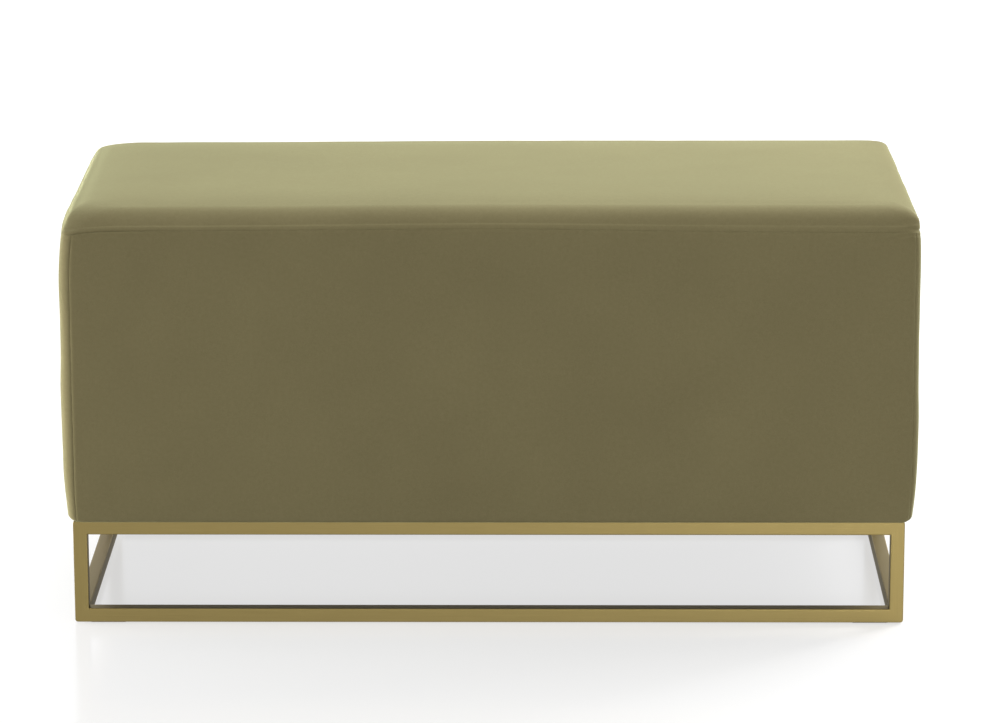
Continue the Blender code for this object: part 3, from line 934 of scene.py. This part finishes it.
def make_seat_foam():
    """The thick foam on the deck, rounded over at its upper edge."""
    low = DECK_TOP + FOAM_GAP
    widest = SEAM_DRAW_IN + FOAM_INSET
    high = SEAM_HEIGHT - SEAT_FOAM_STOP
    wall = np.array([(widest + FOAM_EDGE, low), (widest, low + FOAM_EDGE), (widest, high)])
    places = np.arange(COLUMN_COUNT)
    wall_rings = outline(wall[:, :1], wall[:, 1:], places, CORNER_RADIUS - FOAM_INSET)
    rim_rows = np.linspace(SEAM_PLACE, RIM_PLACE, RIM_ROWS)
    rim_rings = cover_points(rim_rows, places) - FOAM_INSET * cover_normals(rim_rows, places)
    rings = np.concatenate((wall_rings, rim_rings))
    points, faces, _, _, inside = capped(rings)
    under_numbers, _ = rim_numbers(0)
    under_numbers[inside] = len(points) + np.arange(inside.sum())
    points = np.concatenate((points, filled(rings[0], 0.0)[inside]))
    faces = np.concatenate((faces, grid_faces(under_numbers)[:, ::-1]))
    return new_piece("seat_padding", set_on_base(drawn(points)), faces)


seat_padding = finish_piece(make_seat_foam(), FOAM, "foam", "seat_foam")
for side in PANEL_PLACES:
    padding = finish_piece(make_side_foam(side), FOAM, "foam", side + "_foam")


# Base of square tube, welded and ground smooth
TUBE_CORNER = 0.0012
GROUND_CORNER = 0.0030
SECTION_STEPS = 4
GROUND_STEPS = 5
GROUND_STEP = 0.0002
MITRE_REACH = 0.025
RAIL_END = 0.020
WELD_OVERLAP = 0.0003
SAME_PLACE = 0.000002


def tube_section():
    """A rounded square: distance from the loop's outer side, and depth from its front."""
    centre = TUBE / 2 - TUBE_CORNER
    points = []
    for corner, (x, y) in enumerate(((1, 1), (-1, 1), (-1, -1), (1, -1))):
        for step in range(SECTION_STEPS + 1):
            turn = math.pi / 2 * (corner + step / SECTION_STEPS)
            outer = TUBE / 2 + x * centre + TUBE_CORNER * math.cos(turn)
            points.append((outer, TUBE / 2 + y * centre + TUBE_CORNER * math.sin(turn)))
    return points


SECTION = tube_section()


def mitre_station(step, half_length):
    """A cross-section near a mitred end: distance from the middle, from the outer side, and depth."""
    turn = math.pi / 4 * (1 - step / GROUND_STEPS)
    points = []
    for outer, depth in SECTION:
        if outer < GROUND_CORNER:
            reach = GROUND_CORNER - outer
            from_end = GROUND_CORNER - reach * math.sin(turn)
            moved = GROUND_CORNER - reach * math.cos(turn)
        else:
            from_end = outer + GROUND_STEP * step
            moved = outer
        points.append((half_length - from_end, moved, depth))
    return points


def add_loft(bm, sections, place, uv):
    """Faces between cross-sections of a tube; place says where a section's point is."""
    around = along(np.array(SECTION + SECTION[:1]))
    rows = [[bm.verts.new(place(*point)) for point in section] for section in sections]
    for number in range(len(sections) - 1):
        for index in range(len(SECTION)):
            after = (index + 1) % len(SECTION)
            corners = ((0, index, index), (0, after, index + 1), (1, after, index + 1), (1, index, index))
            face = bm.faces.new([rows[number + up][column] for up, column, _ in corners])
            for loop, (up, column, turn) in zip(face.loops, corners):
                loop[uv].uv = (sections[number + up][column][0], around[turn])
    return rows


def add_loop(bm, uv, direction):
    """The front or back loop: four mitred tubes whose outer corners are ground round."""
    middle_z = (FRAME_LOW + FRAME_HIGH) / 2
    half_high = (FRAME_HIGH - FRAME_LOW) / 2

    def tube(half_length, half_across, upright, sign):
        ends = [mitre_station(step, half_length) for step in range(GROUND_STEPS + 1)]
        ends.append([(half_length - MITRE_REACH, outer, depth) for outer, depth in SECTION])
        mirrored = [[(-length, outer, depth) for length, outer, depth in section] for section in ends]

        def place(length, outer, depth):
            y = direction * (FRAME_Y - depth)
            across = sign * (half_across - outer)
            if upright:
                return (across, y, middle_z + length)
            return (length, y, middle_z + across)

        add_loft(bm, ends + mirrored[::-1], place, uv)

    for sign in (-1, 1):
        tube(FRAME_X, half_high, False, sign)
        tube(half_high, FRAME_X, True, sign)


def add_side_rail(bm, uv, hand, low):
    """A rail between the two loops at one end of the base."""
    half = FRAME_Y - TUBE + WELD_OVERLAP
    lengths = (-half, RAIL_END - half, half - RAIL_END, half)
    sections = [[(length, across, up) for across, up in SECTION] for length in lengths]

    def place(length, across, up):
        return (hand * (FRAME_X - across), length, low + up)

    rows = add_loft(bm, sections, place, uv)
    bm.faces.new(rows[0][::-1])
    bm.faces.new(rows[-1])


def make_base():
    """The twelve tubes as one welded piece."""
    bm = bmesh.new()
    uv = bm.loops.layers.uv.new("tube")
    for direction in (-1, 1):
        add_loop(bm, uv, direction)
    for hand in (-1, 1):
        for low in (FRAME_LOW, FRAME_HIGH - TUBE):
            add_side_rail(bm, uv, hand, low)
    bmesh.ops.remove_doubles(bm, verts=bm.verts, dist=SAME_PLACE)
    bmesh.ops.recalc_face_normals(bm, faces=bm.faces)
    piece = piece_from_bmesh("base_frame", bm, sharp_angle=40)
    weighted = piece.modifiers.new("even_normals", "WEIGHTED_NORMAL")
    weighted.keep_sharp = True
    return piece


BASE_TUBES = [
    f"{side}_{tube}" for side in ("front", "back")
    for tube in ("upper_rail", "lower_rail", "left_post", "right_post")
]
BASE_TUBES += [f"{end}_{tube}" for end in ("left", "right") for tube in ("upper_rail", "lower_rail")]
finish_piece(make_base(), GOLD, "gold_metal", *BASE_TUBES)


# Felt pads under the base
PAD_CORNER = 0.003
PAD_EDGE = 0.0003


def make_pad(corner):
    """A felt pad with rounded corners and a softened edge."""
    node = "floor_pad_" + corner
    low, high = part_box(node)
    bm = bmesh.new()
    size = high - low
    bmesh.ops.create_cube(bm, size=1.0, matrix=Matrix.Diagonal((*size, 1.0)))
    upright = [edge for edge in bm.edges if edge.verts[0].co.z * edge.verts[1].co.z < 0]
    bmesh.ops.bevel(bm, geom=upright, offset=PAD_CORNER, segments=5, profile=0.5, affect="EDGES")
    flat = [face for face in bm.faces if abs(face.normal.z) > 0.9]
    rims = list({edge for face in flat for edge in face.edges})
    bmesh.ops.bevel(bm, geom=rims, offset=PAD_EDGE, segments=2, profile=0.5, affect="EDGES")
    bmesh.ops.translate(bm, verts=bm.verts, vec=(low + high) / 2)
    piece = piece_from_bmesh(node + "_felt", bm, sharp_angle=50)
    return finish_piece(piece, FELT, "felt", node)


CORNERS = [f"{side}_{end}" for side in ("front", "back") for end in ("left", "right")]
for corner_name in CORNERS:
    make_pad(corner_name)


# Dust cover under the seat, with its staples
DUST_SAG = 0.0006
DUST_RIPPLE = 0.00012
RIPPLE_RATE = 150.0
RIPPLE_BEND = 2
RIPPLE_BEND_RATE = 11.0
DUST_CELLS_X = 60
DUST_CELLS_Y = 26
DUST_THICKNESS = 0.0005
STAPLE_WIDTH = 0.010
STAPLE_WIRE = 0.0006
STAPLE_PITCH = 0.045
STAPLE_FROM_EDGE = 0.006
STAPLE_ROUND = 0.3 * STAPLE_WIRE
STAPLE_WANDER = 0.002
WANDER_RATE_X = 2.3
WANDER_RATE_Y = 1.9
dust_low, dust_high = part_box("dust_cover")


def make_dust_cover():
    """A thin cloth under the board, sagging a little between its staples."""
    middle = (dust_low + dust_high) / 2
    half = (dust_high - dust_low) / 2
    xs = np.linspace(-half.x, half.x, DUST_CELLS_X + 1)
    ys = np.linspace(-half.y, half.y, DUST_CELLS_Y + 1)
    grid_x, grid_y = np.meshgrid(xs, ys)
    inside_x = 1 - (grid_x / half.x) ** 2
    inside_y = 1 - (grid_y / half.y) ** 2
    sag = DUST_SAG * inside_x * inside_y
    bend = RIPPLE_BEND * np.sin(grid_y * RIPPLE_BEND_RATE)
    ripple = DUST_RIPPLE * np.sin(grid_x * RIPPLE_RATE + bend) * (1 - inside_y)
    z = dust_high.z - sag + np.minimum(ripple, 0.0)
    points = np.stack((grid_x + middle.x, grid_y + middle.y, z), axis=-1)
    piece = new_piece("dust_cloth", points, grid_faces(numbered(points)))
    thicken(piece, DUST_THICKNESS)
    return finish_piece(piece, DUST_CLOTH, "dust_cloth", "dust_cover")


def make_staples():
    """The backs of the dust cover's staples: short lengths of rounded wire."""
    height = dust_high.z - DUST_THICKNESS - STAPLE_WIRE / 2
    reach_x = dust_high.x - STAPLE_FROM_EDGE
    reach_y = dust_high.y - STAPLE_FROM_EDGE
    bm = bmesh.new()

    def add_staple(place, size):
        matrix = Matrix.Translation(place) @ Matrix.Diagonal((*size, 1.0))
        made = bmesh.ops.create_cube(bm, size=1.0, matrix=matrix)
        edges = list({edge for vert in made["verts"] for edge in vert.link_edges})
        bmesh.ops.bevel(bm, geom=edges, offset=STAPLE_ROUND, segments=2, profile=0.5, affect="EDGES")

    size = Vector((STAPLE_WIDTH, STAPLE_WIRE, STAPLE_WIRE))
    edges = ((reach_x, reach_y, WANDER_RATE_X, False), (reach_y, reach_x, WANDER_RATE_Y, True))
    for reach, beyond, rate, turned in edges:
        count = round(2 * reach / STAPLE_PITCH)
        for step in range(1, count):
            for side in (-1, 1):
                wander = STAPLE_WANDER * math.sin(step * rate + side)
                place = Vector((-reach + 2 * reach * step / count + wander, side * beyond, height))
                add_staple(place.yxz if turned else place, size.yxz if turned else size)
    piece = piece_from_bmesh("dust_cloth_staples", bm, sharp_angle=50)
    return finish_piece(piece, STEEL, "zinc_steel")


dust_cloth = make_dust_cover()
staples = make_staples()


# Finishes of the CAD pieces that keep their shape
CARRIED = {
    "corner_plate": GOLD_PLATE,
    "seat_bolt": STEEL,
    "t_nut": STEEL,
    "corner_block": PINE,
    "bottom_board": PLYWOOD,
    "seat_deck": PLYWOOD,
    "centre_rib": PLYWOOD,
    "_panel": PLYWOOD,
}
for node_name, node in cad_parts.items():
    for part, finish in CARRIED.items():
        if part in node_name:
            node.data.materials[0] = finish


# Floor
FLOOR_REACH = 9.0
FLOOR_GREY = 0.38
# Painted shade: the floor's grey under the seat
PAINTED_SHADE_GREY = 0.13
FLOOR_GLOW = 0.73
# Painted shade in mirrors: the share of glow left under the seat
PAINTED_SHADE_GLOW = 0.2
FAR_GLOW = 1.0
NEAR_RADIUS = 0.9
FAR_RADIUS = 2.4
FLOOR_GLOSS = 0.14
FLOOR_ROUGHNESS = 0.15
SHADE_END_X = (0.92 * HALF_WIDTH, 0.98 * HALF_WIDTH)
SHADE_END_Y = (0.80 * HALF_DEPTH, 0.93 * HALF_DEPTH)


def seen_directly(tree):
    """One for rays from the camera, a mirror or glass, and zero for the rest."""
    path = add_node(tree, "ShaderNodeLightPath").node.outputs
    mirrored = add_math(tree, "MAXIMUM", path["Is Glossy Ray"], path["Is Transmission Ray"])
    return add_math(tree, "MAXIMUM", path["Is Camera Ray"], mirrored)


def make_floor():
    """A pale floor with the stool's faint reflection, and with painted shade where the seat covers it, in
    its grey and in the glow that metal mirrors.
    """
    corners = [(x * FLOOR_REACH, y * FLOOR_REACH, 0) for x, y in ((-1, -1), (1, -1), (1, 1), (-1, 1))]
    floor = new_piece("floor", corners, [(0, 1, 2, 3)])
    material, tree = new_material("studio_floor")
    tree.nodes.remove(tree.nodes["Principled BSDF"])
    place = add_node(tree, "ShaderNodeTexCoord", output="Object")
    parts = add_node(tree, "ShaderNodeSeparateXYZ", {"Vector": place}).node.outputs
    # Painted shade under the seat: one under it, fading to nothing past its edges
    beside = add_range(tree, add_math(tree, "ABSOLUTE", parts["X"]), 1.0, 0.0, *SHADE_END_X)
    ahead = add_range(tree, add_math(tree, "ABSOLUTE", parts["Y"]), 1.0, 0.0, *SHADE_END_Y)
    painted_shade_under_seat = add_math(tree, "MULTIPLY", beside, ahead)
    grey = add_range(tree, painted_shade_under_seat, FLOOR_GREY, PAINTED_SHADE_GREY, 0.0, 1.0)
    away = add_node(tree, "ShaderNodeVectorMath", {0: place}, "Value", operation="LENGTH")
    level = add_range(tree, away, FLOOR_GLOW, FAR_GLOW, NEAR_RADIUS, FAR_RADIUS)
    # Painted shade in what metal mirrors: the glow for mirror rays is lowered under the seat
    shade = add_math(tree, "MULTIPLY", painted_shade_under_seat, 1 - PAINTED_SHADE_GLOW)
    mirrored = add_node(tree, "ShaderNodeLightPath", output="Is Glossy Ray")
    shade = add_math(tree, "MULTIPLY", shade, mirrored)
    level = add_math(tree, "MULTIPLY", level, add_math(tree, "SUBTRACT", 1.0, shade))
    strength = add_math(tree, "MULTIPLY", level, seen_directly(tree))
    matt = add_node(tree, "ShaderNodeBsdfDiffuse", {"Color": grey})
    glow = add_node(tree, "ShaderNodeEmission", {"Strength": strength})
    gloss = add_node(tree, "ShaderNodeBsdfGlossy", {"Roughness": FLOOR_ROUGHNESS})
    pale = add_node(tree, "ShaderNodeAddShader", {0: matt, 1: glow})
    mixed = add_node(tree, "ShaderNodeMixShader", {0: FLOOR_GLOSS, 1: pale, 2: gloss})
    give(tree, tree.nodes["Material Output"], {"Surface": mixed})
    floor.data.materials.append(material)


make_floor()


# World and lamps
AMBIENT_LEFT = 0.54
AMBIENT_RIGHT = 0.41


def make_world():
    """White where it is seen or mirrored, and otherwise a soft light, more from the left."""
    world = bpy.data.worlds.new("studio")
    world.use_nodes = True
    tree = world.node_tree
    direction = add_node(tree, "ShaderNodeTexCoord", output="Generated")
    sideways = add_node(tree, "ShaderNodeSeparateXYZ", {"Vector": direction}, "X")
    ambient = add_range(tree, sideways, AMBIENT_LEFT, AMBIENT_RIGHT, -1.0, 1.0)
    level = add_math(tree, "MAXIMUM", ambient, seen_directly(tree))
    give(tree, tree.nodes["Background"], {"Color": (1.0, 1.0, 1.0, 1.0), "Strength": level})
    scene.world = world


def add_softbox(name, place, target, size, power, in_metal=True):
    """A flat lamp that faces a target, and that metal mirrors or not."""
    light = bpy.data.lights.new(name, "AREA")
    light.shape = "RECTANGLE"
    light.size, light.size_y = size
    light.energy = power
    lamp = new_object(name, light)
    lamp.location = place
    lamp.rotation_euler = (Vector(target) - Vector(place)).to_track_quat("-Z", "Y").to_euler()
    lamp.visible_glossy = in_metal


make_world()
SEAT_MIDDLE = (0.0, 0.0, 0.30)
LEFT_END = (-0.45, 0.0, 0.26)
add_softbox("overhead", (-0.4, 0.2, 2.8), SEAT_MIDDLE, size=(3.0, 1.6), power=25.5)
add_softbox("right_box", (1.9, 1.4, 2.0), SEAT_MIDDLE, size=(1.0, 1.0), power=57.0)
add_softbox("right_low", (2.4, 1.0, 1.2), SEAT_MIDDLE, size=(1.0, 1.0), power=33.0)
add_softbox("left_box", (-1.05, 0.05, 0.04), LEFT_END, size=(1.0, 0.2), power=13.0, in_metal=False)
add_softbox("left_far", (-2.2, 0.2, 0.35), SEAT_MIDDLE, size=(1.0, 0.6), power=17.0)
add_softbox("front_low", (1.2, -4.3, 0.14), SEAT_MIDDLE, size=(1.0, 0.24), power=39.0)


# Camera of the photograph: turned to the side, tilted down and rolled
LENS = 162.66
SENSOR = 36.0
CAMERA_PLACE = Matrix.Translation((0.0609, -4.7751, 1.4567))
CAMERA_TURN = Matrix.Rotation(math.radians(0.605), 4, "Z")
CAMERA_TILT = Matrix.Rotation(math.radians(90 - 14.305), 4, "X")
CAMERA_ROLL = Matrix.Rotation(math.radians(-0.122), 4, "Z")
camera = bpy.data.cameras.new("camera")
camera.lens = LENS
camera.sensor_width = SENSOR
scene.camera = new_object("camera", camera)
scene.camera.matrix_world = CAMERA_PLACE @ CAMERA_TURN @ CAMERA_TILT @ CAMERA_ROLL
